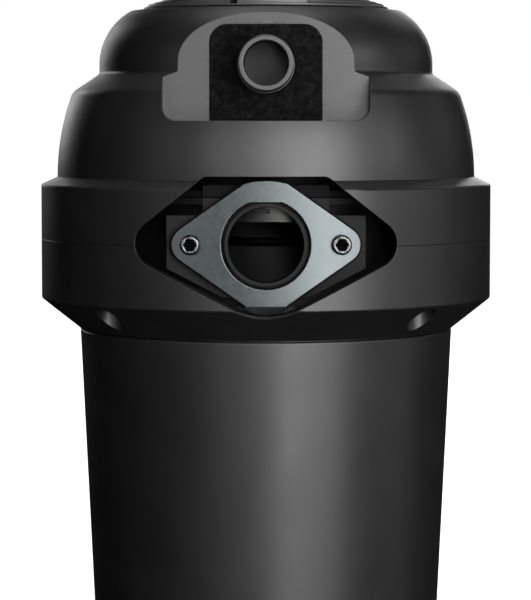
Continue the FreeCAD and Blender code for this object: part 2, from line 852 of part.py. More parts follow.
def turntable():
    disc = turned("turntable_blank", [
        ("0", "turntable_level"),
        ("turntable_radius", "turntable_level"),
        ("turntable_radius", "turntable_level + turntable_thickness"),
        ("0", "turntable_level + turntable_thickness"),
    ])
    holes = [upright("turntable_bore", "shaft_tip_radius", "turntable_level - 1", "6")]
    for index in range(8):
        x, y = on_circle("62", 22.5 + 45 * index)
        holes.append(upright("turntable_hole", "3", "turntable_level - 1", "6", x, y))
    for x, y in impeller_spots():
        holes.append(upright("rivet_hole", "rivet_radius", "turntable_level - 1", "6",
                             x, y))
    node(cut("turntable", disc, *holes), "turntable")


def impeller_rivets():
    rivets = []
    deck = "turntable_level + turntable_thickness"
    for x, y in impeller_spots():
        rivets.append(place(turned("rivet", [
            ("0", "turntable_level - 2"),
            ("rivet_radius + 2", "turntable_level - 2"),
            ("rivet_radius + 2", "turntable_level"),
            ("rivet_radius", "turntable_level"),
            ("rivet_radius", deck + " + 5.2"),
            ("rivet_radius + 3", deck + " + 5.2"),
            ("rivet_radius + 2", deck + " + 7.4"),
            ("0", deck + " + 7.4"),
        ]), (x, y, "0")))
    node(group("impeller_rivets", rivets), "impeller_rivets")


def impeller(label, side):
    """A cast lug that swivels on its rivet, with an upright striking face."""
    deck = "turntable_level + turntable_thickness + impeller_gap"
    foot = slab(label + "_foot", [
        ("-9", "-8.5", "round", "5"),
        ("19", "-8.5", "round", "3"),
        ("20.5", "8.5", "round", "3"),
        ("-9", "8.5", "round", "5"),
    ], deck, "4.6")
    fin = slab(label + "_fin", [
        ("9", "-8.5", "round", "1.5"),
        ("18", "-8.5", "round", "3"),
        ("19.5", "8", "round", "3"),
        ("12", "8.5", "round", "1.5"),
    ], deck, "15")
    bore = upright(label + "_bore", "rivet_radius + running_fit", deck + " - 1", "8")
    lug = cut(label, fuse(label + "_blank", [foot, fin]), bore)
    turn = FreeCAD.Rotation(FreeCAD.Vector(0, 0, 1), 0 if side == "1" else 180)
    node(place(lug, (side + " * impeller_circle", "0", "0"), turn), label)


def turntable_nut():
    deck = "turntable_level + turntable_thickness"
    nut = turned("nut_blank", [
        ("shaft_tip_radius", deck),
        ("nut_radius + 5", deck),
        ("nut_radius + 5", deck + " + 1.6"),
        ("nut_radius", deck + " + 1.6"),
        ("nut_radius", deck + " + 8"),
        ("shaft_tip_radius", deck + " + 8"),
    ])
    flats = hexagon("nut_flats", "16", deck + " + 1.6", "10")
    sleeve = upright("nut_sleeve", "nut_radius + 8", deck + " + 1.6", "10")
    node(cut("turntable_nut", nut, cut("nut_waste", sleeve, flats)), "turntable_nut")


def slinger():
    node(turned("slinger", [
        ("shaft_tip_radius", "shaft_neck"),
        ("22", "shaft_neck", "round", "2"),
        ("26", "shaft_neck - 5"),
        ("28", "shaft_neck - 5"),
        ("26", "shaft_neck + 2.6"),
        ("shaft_tip_radius", "shaft_neck + 2.6"),
    ]), "slinger")


def turntable_hub():
    node(turned("turntable_hub", [
        ("shaft_tip_radius", "shaft_neck + 2.6"),
        ("18", "shaft_neck + 2.6"),
        ("30", "turntable_level"),
        ("shaft_tip_radius", "turntable_level"),
    ]), "turntable_hub")


def shaft_seal():
    node(turned("shaft_seal", [
        ("shaft_high_radius + running_fit", "hub_top - 6"),
        ("11.9", "hub_top - 6"),
        ("11.9", "hub_top"),
        ("15", "hub_top"),
        ("15", "hub_top + 1.6"),
        ("shaft_high_radius + running_fit", "hub_top + 1.6"),
    ]), "shaft_seal")


# ---- dishwasher inlet ------------------------------------------------------------------------

def dishwasher_inlet():
    """A spigot for a hose, turned about the axis that it shares with its plug."""
    node(place(turned("dishwasher_inlet", [
        ("inlet_bore", "inlet_root"),
        ("inlet_seat_radius", "inlet_root"),
        ("inlet_seat_radius", "inlet_seat"),
        ("inlet_radius", "inlet_seat"),
        ("inlet_radius", "inlet_tip", "round", "0.9"),
        ("inlet_bore", "inlet_tip", "round", "0.6"),
    ]), ("0", "0", "inlet_level"), FRONT), "dishwasher_inlet")


def knockout_plug():
    node(frontal("knockout_plug", "inlet_bore - 0.05", "plug_face - plug_thickness",
                 "plug_thickness", level="inlet_level"), "knockout_plug")


def inlet_pad():
    pad = front_prism("pad_blank", [
        ("-pad_half_width", "pad_top", "round", "pad_round"),
        ("-pad_half_width", "recess_floor"),
        ("pad_half_width", "recess_floor"),
        ("pad_half_width", "pad_top", "round", "pad_round"),
    ], "recess_plane", "pad_thickness")
    hole = frontal("pad_hole", "inlet_seat_radius + 0.1", "recess_plane - 1", "6",
                   level="inlet_level")
    node(cut("inlet_pad", pad, hole), "inlet_pad")


def sound_insulation():
    ring = turned("insulation_ring", [
        ("container_upper_radius + 2.5", "container_waist_high + 1"),
        ("dome_radius - wall - 3", "container_waist_high + 1"),
        ("dome_radius - wall - 3", "container_shoulder + 2"),
        ("container_upper_radius + 2.5", "container_shoulder + 2"),
    ])
    clear = block("insulation_gap", ("-recess_half_width - 4", "-belt_radius", "220"),
                  ("recess_half_width + 4", "-recess_plane + wall + 1.5", "310"))
    node(cut("sound_insulation", ring, clear), "sound_insulation")


# ---- motor -------------------------------------------------------------------------------------

def motor_shaft():
    shaft = turned("shaft_blank", [
        ("0", "shaft_end"),
        ("shaft_low_radius", "shaft_end"),
        ("shaft_low_radius", "shaft_step"),
        ("shaft_core_radius", "shaft_step"),
        ("shaft_core_radius", "shaft_core_end"),
        ("shaft_high_radius", "shaft_core_end"),
        ("shaft_high_radius", "shaft_neck"),
        ("shaft_tip_radius", "shaft_neck"),
        ("shaft_tip_radius", "shaft_tip"),
        ("0", "shaft_tip"),
    ])
    socket = hexagon("wrench_socket", "wrench_flats", "shaft_end - 1", "wrench_depth + 1")
    node(cut("motor_shaft", shaft, socket), "motor_shaft")


def rotor_core():
    stack = turned("rotor_blank", [
        ("shaft_core_radius", "core_foot"),
        ("rotor_radius", "core_foot"),
        ("rotor_radius", "core_top"),
        ("shaft_core_radius", "core_top"),
    ])
    holes = []
    for index in range(SIZES["bar_count"]):
        x, y = on_circle("bar_circle", index * 360 / SIZES["bar_count"])
        holes.append(upright("bar_hole", "bar_radius + 0.1", "core_foot - 1",
                             "core_top - core_foot + 2", x, y))
    node(cut("rotor_core", stack, *holes), "rotor_core")


def rotor_cage():
    """Cast end rings with fan blades, joined by bars through the core."""
    pieces = []
    for foot in ("core_foot - 6", "core_top"):
        pieces.append(turned("end_ring", [
            ("20", foot),
            ("rotor_radius - 1", foot),
            ("rotor_radius - 1", foot + " + 6"),
            ("20", foot + " + 6"),
        ]))
    for index in range(SIZES["bar_count"]):
        x, y = on_circle("bar_circle", index * 360 / SIZES["bar_count"])
        pieces.append(upright("cage_bar", "bar_radius", "core_foot - 1",
                              "core_top - core_foot + 2", x, y))
    for index in range(8):
        pieces.append(block("fan_blade", ("21", "-1", "core_top + 5"),
                            ("32", "1", "core_top + 13"), index * 45))
    node(fuse("rotor_cage", pieces), "rotor_cage")


def centrifugal_governor():
    """The hub and flyweights, fixed to the shaft, that pull the switch collar up."""
    hub = turned("governor_hub", [
        ("shaft_core_radius", "49"),
        ("22", "49"),
        ("22", "52"),
        ("14", "52"),
        ("14", "57"),
        ("shaft_core_radius", "57"),
    ])
    weights = [block("flyweight", ("15", "-7", "52"), ("25", "7", "57")),
               block("flyweight", ("-25", "-7", "52"), ("-15", "7", "57"))]
    node(fuse("centrifugal_governor", [hub] + weights), "centrifugal_governor")


def switch_collar():
    node(turned("switch_collar", [
        ("shaft_core_radius + running_fit", "38"),
        ("21", "38"),
        ("21", "40"),
        ("13", "40"),
        ("13", "44.5"),
        ("shaft_core_radius + running_fit", "44.5"),
    ]), "switch_collar")


def stator_core():
    stack = turned("stator_blank", [
        ("stator_bore", "core_foot"),
        ("stator_radius", "core_foot"),
        ("stator_radius", "core_top"),
        ("stator_bore", "core_top"),
    ])
    cuts = []
    for index in range(SIZES["slot_count"]):
        for depth, width in (("39", "1.2"), ("53", "2.6")):
            start = "30" if depth == "39" else "38.5"
            cuts.append(block("stator_slot", (start, "-" + width, "core_foot - 1"),
                              (depth, width, "core_top + 1"),
                              index * 360 / SIZES["slot_count"]))
    for angle in QUARTERS:
        x, y = on_circle("through_bolt_circle", angle)
        cuts.append(upright("stator_bolt_hole", "through_bolt_radius + 0.3",
                            "core_foot - 1", "core_top - core_foot + 2", x, y))
    node(cut("stator_core", stack, *cuts), "stator_core")


def stator_winding():
    """Coils: a bundle of wire in each slot and a round bundle at each end."""
    pieces = []
    for foot in ("core_foot - 14", "core_top + 2"):
        pieces.append(turned("coil_end", [
            ("39.5", foot, "round", "4"),
            ("55", foot, "round", "4"),
            ("55", foot + " + 12", "round", "4"),
            ("39.5", foot + " + 12", "round", "4"),
        ]))
    for index in range(SIZES["slot_count"]):
        pieces.append(block("coil_side", ("41", "-2.2", "core_foot - 8"),
                            ("52", "2.2", "core_top + 8"),
                            index * 360 / SIZES["slot_count"]))
    node(fuse("stator_winding", pieces), "stator_winding")


def upper_end_frame():
    frame = turned("upper_frame_blank", [
        ("stator_radius - frame_skin", "core_top"),
        ("stator_radius", "core_top"),
        ("stator_radius", "frame_deck"),
        ("78", "frame_deck"),
        ("78", "chamber_underside"),
        ("74", "chamber_underside"),
        ("74", "frame_deck + 4"),
        ("18", "frame_deck + 4"),
        ("18", "high_bearing_top + 2"),
        ("high_bearing_radius", "high_bearing_top + 2"),
        ("high_bearing_radius", "high_bearing_foot"),
        ("10", "high_bearing_foot"),
        ("10", "frame_deck"),
        ("stator_radius - frame_skin", "frame_deck"),
    ])
    holes = []
    for angle in QUARTERS:
        x, y = on_circle("through_bolt_circle", angle)
        holes.append(upright("upper_frame_hole", "through_bolt_radius + 0.05",
                             "frame_deck - 1", "6", x, y))
    node(cut("upper_end_frame", frame, *holes), "upper_end_frame")


def bearings():
    node(turned("upper_bearing", [
        ("shaft_high_radius + running_fit", "high_bearing_foot"),
        ("high_bearing_radius", "high_bearing_foot"),
        ("high_bearing_radius", "high_bearing_top"),
        ("shaft_high_radius + running_fit", "high_bearing_top"),
    ]), "upper_bearing")
    node(turned("lower_bearing", [
        ("shaft_low_radius + running_fit", "low_bearing_foot"),
        ("low_bearing_radius", "low_bearing_foot"),
        ("low_bearing_radius", "low_bearing_top"),
        ("shaft_low_radius + running_fit", "low_bearing_top"),
    ]), "lower_bearing")
    node(turned("thrust_washer", [
        ("shaft_low_radius + 0.5", "low_bearing_top"),
        ("11.5", "low_bearing_top"),
        ("11.5", "shaft_step - 0.3"),
        ("shaft_low_radius + 0.5", "shaft_step - 0.3"),
    ]), "thrust_washer")


def lower_end_frame():
    frame = turned("lower_frame_blank", [
        ("low_bearing_radius - 3", "frame_floor"),
        ("stator_radius", "frame_floor"),
        ("stator_radius", "core_foot"),
        ("stator_radius - frame_skin", "core_foot"),
        ("stator_radius - frame_skin", "frame_floor + frame_skin"),
        ("17", "frame_floor + frame_skin"),
        ("17", "low_bearing_top + 1"),
        ("low_bearing_radius", "low_bearing_top + 1"),
        ("low_bearing_radius", "low_bearing_foot"),
        ("low_bearing_radius - 3", "low_bearing_foot"),
    ])
    deck = "cover_underside + cover_thickness"
    posts = []
    cuts = [upright("reset_way", "reset_radius + 0.6", "frame_floor - 1", "6",
                    "reset_x", "0"),
            upright("wire_way", "wire_entry_radius + 2", "frame_floor - 1", "6",
                    "0", "wire_entry_y")]
    for angle in THIRDS:
        x, y = on_circle("cover_screw_circle", angle)
        posts.append(upright("cover_post", "5", deck, "frame_floor - (%s) + 0.5" % deck,
                             x, y))
        cuts.append(upright("cover_post_hole", "cover_screw_radius + 0.05",
                            deck + " - 1", "frame_floor - (%s) + 6" % deck, x, y))
    for angle in QUARTERS:
        x, y = on_circle("through_bolt_circle", angle)
        cuts.append(upright("lower_frame_hole", "through_bolt_radius + 0.3",
                            "frame_floor - 1", "6", x, y))
    node(cut("lower_end_frame", fuse("lower_frame_body", [frame] + posts), *cuts),
         "lower_end_frame")


def through_bolts():
    bolts = []
    for angle in QUARTERS:
        x, y = on_circle("through_bolt_circle", angle)
        shank = upright("bolt_shank", "through_bolt_radius", "frame_floor",
                        "frame_deck + 6 - frame_floor", x, y)
        head = hexagon("bolt_head", "8", "frame_floor - 3", "3", x, y)
        bolts.append(fuse("through_bolt", [shank, head]))
    node(group("through_bolts", bolts), "through_bolts")


def start_gear():
    """Start switch, start capacitor and its strap, inside the lower end frame."""
    floor = "frame_floor + frame_skin"
    switch = block("switch_body", ("28", "-10", floor), ("50", "10", "36.5"))
    lever = block("switch_lever", ("15", "-4", "36"), ("40", "4", "37.5"))
    node(fuse("start_switch", [switch, lever]), "start_switch")
    can = DOC.addObject("Part::Cylinder", "start_capacitor")
    bind(can, "Radius", "13")
    bind(can, "Height", "54")
    place(can, ("-27", "42", "33"), FreeCAD.Rotation(FreeCAD.Vector(0, 1, 0), 90))
    node(can, "start_capacitor")
    hoop = DOC.addObject("Part::Cylinder", "strap_hoop")
    bind(hoop, "Radius", "14.4")
    bind(hoop, "Height", "8")
    place(hoop, ("-4", "42", "33"), FreeCAD.Rotation(FreeCAD.Vector(0, 1, 0), 90))
    foot = block("strap_foot", ("-4", "34", floor), ("4", "50", "24"))
    hole = DOC.addObject("Part::Cylinder", "strap_hole")
    bind(hole, "Radius", "13")
    bind(hole, "Height", "12")
    place(hole, ("-6", "42", "33"), FreeCAD.Rotation(FreeCAD.Vector(0, 1, 0), 90))
    node(cut("capacitor_strap", fuse("strap_blank", [hoop, foot]), hole),
         "capacitor_strap")


def overload_protector():
    case = block("protector_case", ("-52", "-14", "frame_floor + frame_skin"),
                 ("-26", "14", "38"))
    way = upright("protector_way", "reset_radius + 0.4", "frame_floor", "14",
                  "reset_x", "0")
    node(cut("overload_protector", case, way), "overload_protector")


def reset_button():
    node(place(turned("reset_button", [
        ("0", "reset_tip"),
        ("reset_radius", "reset_tip", "round", "1"),
        ("reset_radius", "reset_tip + 16"),
        ("0", "reset_tip + 16"),
    ]), ("reset_x", "0", "0")), "reset_button")


# ---- base ----------------------------------------------------------------------------------------

def bottom_cover():
    plate = upright("cover_blank", "cover_radius", "cover_underside", "cover_thickness")
    holes = [upright("cover_shaft_hole", "10", "0", "12"),
             upright("cover_reset_hole", "reset_radius + 1", "0", "12", "reset_x", "0"),
             upright("cover_wire_hole", "wire_entry_radius", "0", "12", "0",
                     "wire_entry_y"),
             block("cover_wiring_hole", ("wiring_x - 15", "-13", "0"),
                   ("wiring_x + 11", "13", "12")),
             upright("wiring_screw_hole", "1.6", "0", "12", "wiring_x + 17", "0"),
             upright("ground_hole", "2.1", "0", "12", "20", "wire_entry_y + 2")]
    for angle in THIRDS:
        x, y = on_circle("cover_screw_circle", angle)
        holes.append(upright("cover_hole", "cover_screw_radius + 0.3", "0", "12", x, y))
    node(cut("bottom_cover", plate, *holes), "bottom_cover")


def base_screws():
    screws = []
    for angle in THIRDS:
        x, y = on_circle("cover_screw_circle", angle)
        screws.append(hex_socket_screw("cover_screw", "cover_screw_radius", "9", "4",
                                       "1.9", "2.5", (x, y, "cover_underside"), None))
    node(group("cover_screws", screws), "cover_screws")
    node(hex_socket_screw("plate_screw", "1.5", "6", "3", "1.4", "2",
                          ("wiring_x + 17", "0", "cover_underside - 1.5"), None),
         "wiring_screw")
    node(hex_socket_screw("earth_screw", "2", "6", "4.2", "2", "2.5",
                          ("20", "wire_entry_y + 2", "cover_underside"), None),
         "ground_screw")


def wiring_cover():
    plate = slab("wiring_plate", [
        ("wiring_x - 20", "-18", "round", "3"),
        ("wiring_x + 22", "-18", "round", "3"),
        ("wiring_x + 22", "18", "round", "3"),
        ("wiring_x - 20", "18", "round", "3"),
    ], "cover_underside - 1.5", "1.5")
    hole = upright("wiring_plate_hole", "1.6", "0", "12", "wiring_x + 17", "0")
    node(cut("wiring_cover", plate, hole), "wiring_cover")


# ---- sink mount -------------------------------------------------------------------------------------

def sector(name, radius, foot, top, sweep, start):
    """A raised sector on the collar of the mounting ring, from a start angle."""
    body = turned(name, [
        ("mount_collar - 1", foot),
        (radius, foot),
        (radius, top),
        ("mount_collar - 1", top),
    ])
    body.Tip.Angle = sweep
    return place(body, ("0", "0", "0"),
                 FreeCAD.Rotation(FreeCAD.Vector(0, 0, 1), start))


def lower_mount_ring():
    """Turns on the neck; its ramped lugs draw up to a flange under the sink."""
    ring = turned("mount_blank", [
        ("mount_bore", "mount_foot"),
        ("mount_radius", "mount_foot"),
        ("mount_radius", "mount_foot + 1"),
        ("mount_radius - 2", "mount_foot + 1.7"),
        ("mount_radius - 2.2", "mount_foot + 2.5"),
        ("mount_radius - 5", "mount_foot + 2.7"),
        ("mount_radius - 5.4", "mount_foot + 3.5"),
        ("mount_radius - 8.4", "mount_foot + 3.8"),
        ("mount_radius - 9", "mount_foot + 4.7"),
        ("mount_collar", "mount_foot + 5"),
        ("mount_collar", "mount_top"),
        ("mount_bore", "mount_top"),
    ])
    raised = []
    for index in range(3):
        for step in range(4):
            raised.append(sector("lug", "lug_radius", "mount_top - 3.2 - %s" % step,
                                 "mount_top - %s" % step, 11,
                                 index * 120 + 60 + 10.9 * step))
    raised.append(sector("mount_pad", "mount_pad_radius", "mount_foot",
                         "mount_foot + mount_pad_height", 33, -104))
    notches = []
    for angle, foot, half in ((-105, "mount_foot + 0.6", "2"),
                              (-84, "mount_foot + 2.4", "2.2")):
        notches.append(block("pad_notch", ("mount_collar", "-" + half, foot),
                             ("mount_pad_radius + 1", half,
                              "mount_foot + mount_pad_height + 1"), angle))
    node(cut("lower_mount_ring", fuse("mount_body", [ring] + raised), *notches),
         "lower_mount_ring")


def mounting_gasket():
    node(turned("mounting_gasket", [
        ("neck_radius - container_skin", "neck_top"),
        ("rubber_radius", "neck_top"),
        ("rubber_radius", "neck_top + 3"),
        ("rubber_radius - 3", "rubber_top"),
        ("neck_radius - container_skin", "rubber_top"),
    ]), "mounting_gasket")


def splash_baffle():
    """A soft cup whose floor is slit into flaps round a small hole."""
    cup = turned("baffle_cup", [
        ("baffle_hole", "baffle_foot - 4"),
        ("baffle_radius", "baffle_foot"),
        ("baffle_radius", "rubber_top + 0.3"),
        ("baffle_rim", "rubber_top + 0.3"),
        ("baffle_rim", "rubber_top + 0.3 + baffle_rim_thickness"),
        ("baffle_radius - baffle_skin", "rubber_top + 0.3 + baffle_rim_thickness"),
        ("baffle_radius - baffle_skin", "baffle_foot + 2.4"),
        ("baffle_hole", "baffle_foot - 1.6"),
    ])
    slits = []
    for index in range(8):
        slits.append(block("baffle_slit", ("baffle_hole - 4", "-0.6", "baffle_foot - 10"),
                           ("baffle_radius - 6", "0.6", "baffle_foot + 6"),
                           index * 45 + 22.5))
    node(cut("splash_baffle", cup, *slits), "splash_baffle")


def write_parts():
    DOC.recompute()
    faults = [thing.Name for thing in DOC.Objects
              if "Invalid" in thing.State or "Error" in thing.State]
    if faults:
        raise RuntimeError("failed objects: " + ", ".join(faults))
    os.makedirs("parts", exist_ok=True)
    for thing in NODES:
        if thing.Shape.isNull() or not thing.Shape.isValid() or not thing.Shape.Solids:
            raise RuntimeError("bad shape: " + thing.Label)
        thing.Shape.exportStep(os.path.join("parts", thing.Label + ".step"))
        print("%-22s %3d solids %10.1f mm3" % (
            thing.Label, len(thing.Shape.Solids), thing.Shape.Volume))


upper_shell()
lower_collar()
lower_shell()
bottom_cover()
wiring_cover()
shell_screws()
base_screws()
lower_mount_ring()
mounting_gasket()
splash_baffle()
grind_container()
container_gasket()
container_screws()
shredder_ring()
turntable()
impeller_rivets()
impeller("impeller_right", "1")
impeller("impeller_left", "-1")
turntable_nut()
turntable_hub()
slinger()
shaft_seal()
drain_chamber()
outlet_gasket()
discharge_flange()
flange_screws()
dishwasher_inlet()
knockout_plug()
inlet_pad()
sound_insulation()
motor_shaft()
rotor_core()
rotor_cage()
centrifugal_governor()
switch_collar()
stator_core()
stator_winding()
upper_end_frame()
bearings()
lower_end_frame()
through_bolts()
start_gear()
overload_protector()
reset_button()
write_parts()
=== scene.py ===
"""Kitchen waste disposer: looks, stage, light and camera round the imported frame."""
import json
import math
import random

import bpy
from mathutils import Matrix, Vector, noise


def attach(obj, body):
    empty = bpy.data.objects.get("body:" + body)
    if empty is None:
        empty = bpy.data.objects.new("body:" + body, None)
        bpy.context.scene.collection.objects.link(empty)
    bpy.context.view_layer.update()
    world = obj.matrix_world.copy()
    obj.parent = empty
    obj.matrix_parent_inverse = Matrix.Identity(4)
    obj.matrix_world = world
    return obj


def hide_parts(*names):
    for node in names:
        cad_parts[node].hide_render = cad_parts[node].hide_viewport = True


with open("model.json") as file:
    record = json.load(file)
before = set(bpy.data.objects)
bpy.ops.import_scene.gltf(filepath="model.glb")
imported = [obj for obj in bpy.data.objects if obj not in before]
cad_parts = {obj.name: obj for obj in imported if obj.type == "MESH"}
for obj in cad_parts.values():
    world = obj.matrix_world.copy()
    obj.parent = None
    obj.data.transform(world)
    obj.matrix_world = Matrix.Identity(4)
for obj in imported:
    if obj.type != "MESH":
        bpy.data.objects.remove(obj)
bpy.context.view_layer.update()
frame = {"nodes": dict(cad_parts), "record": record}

NODES = frame["nodes"]
MM = 0.001

# ---- camera, stage and light, in metres and watts ------------------------------------------
CAMERA_DISTANCE = 1.233
CAMERA_HEIGHT = 0.257
CAMERA_SIDE = -0.0002
CAMERA_PITCH = math.radians(4.1)
LENS = 149.0
SENSOR = 36
FLOOR_HALF = 6.0
FLOOR_GAP = 0.00005
FLOOR_GLOW = 0.86
ROOM_LIGHT = 0.004
TOP_POWER = 18.4
TOP_SIZE = 1.2


# ---- node helpers ------------------------------------------------------------------------

class Shader:
    """A node material under construction: one Principled surface and its helpers."""

    def __init__(self, name, **surface):
        self.material = bpy.data.materials.new(name)
        self.material.use_nodes = True
        self.tree = self.material.node_tree
        self.surface = self.tree.nodes["Principled BSDF"]
        for key, value in surface.items():
            self.surface.inputs[key.replace("_", " ")].default_value = value

    def node(self, kind, inputs=None, **settings):
        """A new node with settings, and inputs that are numbers or other sockets."""
        made = self.tree.nodes.new("ShaderNode" + kind)
        for key, value in settings.items():
            setattr(made, key, value)
        for key, value in (inputs or {}).items():
            self.feed(made.inputs[key], value)
        return made

    def feed(self, socket, value):
        if isinstance(value, bpy.types.NodeSocket):
            self.tree.links.new(value, socket)
        else:
            socket.default_value = value

    def place(self, scale=(1, 1, 1)):
        """Object coordinates, stretched along each axis."""
        source = self.node("TexCoord").outputs["Object"]
        return self.node("Mapping", {"Vector": source, "Scale": scale}).outputs["Vector"]

    def noise(self, size, detail=4.0, roughness=0.5, vector=None, distortion=0.0):
        """Cloudy values with features of a size in metres."""
        inputs = {"Scale": 1 / size, "Detail": detail, "Roughness": roughness,
                  "Distortion": distortion,
                  "Vector": vector if vector is not None else self.place()}
        return self.node("TexNoise", inputs).outputs["Fac"]

    def ramp(self, value, *stops):
        """Colours along a value: stops are (position, colour)."""
        ramp = self.node("ValToRGB", {"Fac": value})
        points = ramp.color_ramp.elements
        while len(points) < len(stops):
            points.new(0.5)
        for point, (position, colour) in zip(points, stops):
            point.position = position
            point.color = (*colour, 1) if len(colour) == 3 else colour
        return ramp.outputs["Color"]

    def spread(self, value, low, high, start=0.3, end=0.7):
        """A value mapped from start..end to low..high."""
        inputs = {"Value": value, "From Min": start, "From Max": end,
                  "To Min": low, "To Max": high}
        return self.node("MapRange", inputs).outputs["Result"]

    def mix(self, share, first, second):
        inputs = {0: share, 6: first, 7: second}
        made = self.node("Mix", inputs, data_type="RGBA")
        return made.outputs[2]

    def blend(self, share, first, second):
        inputs = {0: share, 2: first, 3: second}
        return self.node("Mix", inputs, data_type="FLOAT").outputs[0]

    def maths(self, operation, first, second=0.0):
        return self.node("Math", {0: first, 1: second}, operation=operation).outputs[0]

    def bump(self, height, distance, strength=1.0, base=None):
        inputs = {"Height": height, "Distance": distance, "Strength": strength}
        if base is not None:
            inputs["Normal"] = base
        return self.node("Bump", inputs).outputs["Normal"]

    def rounded(self, radius):
        """The normal of the surface with its edges rounded to a radius."""
        return self.node("Bevel", {"Radius": radius}, samples=6).outputs["Normal"]

    def edges(self, radius, low=0.02, high=0.35):
        """1 on edges and 0 on flat stretches."""
        true_normal = self.node("NewGeometry").outputs["Normal"]
        soft = self.rounded(radius)
        dot = self.node("VectorMath", {0: true_normal, 1: soft},
                        operation="DOT_PRODUCT").outputs["Value"]
        return self.spread(self.maths("SUBTRACT", 1.0, dot), 0, 1, low, high)

    def finish(self, colour=None, roughness=None, normal=None):
        for key, value in (("Base Color", colour), ("Roughness", roughness),
                           ("Normal", normal)):
            if value is not None:
                self.feed(self.surface.inputs[key], value)
        return self.material


# ---- materials ---------------------------------------------------------------------------

def moulded(name, colour, roughness, grain=0.35, wear=0.5, specular=0.5):
    """Satin moulded plastic with a fine spark texture, faint scuffs and worn edges."""
    s = Shader(name, Specular_IOR_Level=specular)
    fine = s.noise(grain * MM, 2.0)
    cloud = s.noise(28 * MM, 5.0, 0.6)
    edge = s.edges(0.5 * MM)
    lighter = tuple(min(1.0, 1.6 * c + 0.004) for c in colour)
    darker = tuple(0.85 * c for c in colour)
    base = s.ramp(cloud, (0.35, darker), (0.65, colour))
    base = s.mix(s.maths("MULTIPLY", edge, wear), base, (*lighter, 1))
    gloss = s.spread(cloud, roughness - 0.03, roughness + 0.04)
    normal = s.bump(fine, 0.02 * MM, 0.35, s.rounded(0.35 * MM))
    return s.finish(base, gloss, normal)


def painted(name, colour, roughness):
    """Black powder coat: an orange-peel skin over steel."""
    s = Shader(name)
    peel = s.noise(1.1 * MM, 3.0)
    cloud = s.noise(20 * MM, 4.0)
    base = s.ramp(cloud, (0.3, tuple(0.8 * c for c in colour)), (0.7, colour))
    edge = s.maths("MULTIPLY", s.edges(0.5 * MM), 0.5)
    base = s.mix(edge, base, (0.14, 0.14, 0.145, 1))
    return s.finish(base, s.spread(cloud, roughness - 0.04, roughness + 0.06),
                    s.bump(peel, 0.05 * MM, 0.5, s.rounded(0.4 * MM)))


def rubber(name, colour=(0.006, 0.006, 0.0062)):
    s = Shader(name, Specular_IOR_Level=0.14)
    fine = s.noise(0.5 * MM, 3.0)
    bloom = s.noise(9 * MM, 6.0, 0.65)
    base = s.ramp(bloom, (0.4, colour), (0.75, tuple(2.2 * c for c in colour)))
    return s.finish(base, s.spread(bloom, 0.5, 0.68),
                    s.bump(fine, 0.03 * MM, 0.5, s.rounded(0.4 * MM)))


PLATE_LENGTH = 80 * MM


def zinc_plate(name, bow=0.0):
    """Zinc-plated sheet: soft mottling, fine rolling lines, and edges painted bright as a
    highlight.

    A clamped plate bows: its normal leans outwards by the slope bow at either end.
    """
    s = Shader(name, Metallic=1.0)
    mottle = s.noise(2.6 * MM, 6.0, 0.62, distortion=0.6)
    cloud = s.noise(14 * MM, 4.0)
    lines = s.noise(1.0 * MM, 3.0, vector=s.place((1, 1, 14)))
    edge = s.edges(0.6 * MM)
    base = s.ramp(mottle, (0.3, (0.051, 0.0575, 0.059)), (0.72, (0.064, 0.072, 0.074)))
    base = s.mix(s.spread(cloud, 0.0, 0.35), base, (0.057, 0.064, 0.066, 1))
    # painted highlight: every edge is coloured light grey, standing in for the light the
    # plate's rounded edges catch
    base = s.mix(edge, base, (0.3, 0.305, 0.31, 1))
    rough = s.maths("ADD", s.spread(mottle, 0.29, 0.37), s.spread(lines, -0.03, 0.04))
    across = s.node("SeparateXYZ", {"Vector": s.place()}).outputs["X"]
    crown = s.maths("MULTIPLY", s.maths("MULTIPLY", across, across), -bow / PLATE_LENGTH)
    bowed = s.bump(crown, 1.0, base=s.rounded(0.5 * MM))
    normal = s.bump(mottle, 0.02 * MM, 0.3, bowed)
    return s.finish(base, s.blend(edge, rough, 0.25), normal)


def plated_steel(name, colour, roughness, lines=22):
    """Bright plated or ground steel, with fine turning marks round Z."""
    s = Shader(name, Metallic=1.0)
    marks = s.noise(1.2 * MM, 2.0, vector=s.place((1, 1, lines)))
    smudge = s.noise(5 * MM, 5.0)
    dull = tuple(0.8 * c for c in colour)
    base = s.ramp(smudge, (0.35, dull), (0.65, colour))
    rough = s.maths("ADD", s.spread(smudge, roughness - 0.03, roughness + 0.06),
                    s.spread(marks, -0.03, 0.04))
    return s.finish(base, rough, s.bump(marks, 0.01 * MM, 0.4, s.rounded(0.3 * MM)))


def stainless(name):
    """Pressed stainless with fine circular grain and dulled patches."""
    s = Shader(name, Metallic=1.0)
    place = s.node("TexCoord").outputs["Object"]
    parts = s.node("SeparateXYZ", {"Vector": place}).outputs
    flat = s.node("CombineXYZ", {"X": parts["X"], "Y": parts["Y"], "Z": 0.0})
    radius = s.node("VectorMath", {0: flat.outputs[0]}, operation="LENGTH").outputs["Value"]
    rings = s.node("CombineXYZ", {"X": radius, "Y": parts["Z"], "Z": 0.0}).outputs[0]
    grain = s.noise(0.35 * MM, 3.0, vector=rings)
    smudge = s.noise(11 * MM, 6.0, 0.6)
    base = s.ramp(smudge, (0.3, (0.016, 0.016, 0.0158)), (0.7, (0.027, 0.027, 0.0265)))
    rough = s.maths("ADD", s.spread(smudge, 0.24, 0.36), s.spread(grain, -0.05, 0.06))
    return s.finish(base, rough, s.bump(grain, 0.02 * MM, 0.5, s.rounded(0.3 * MM)))


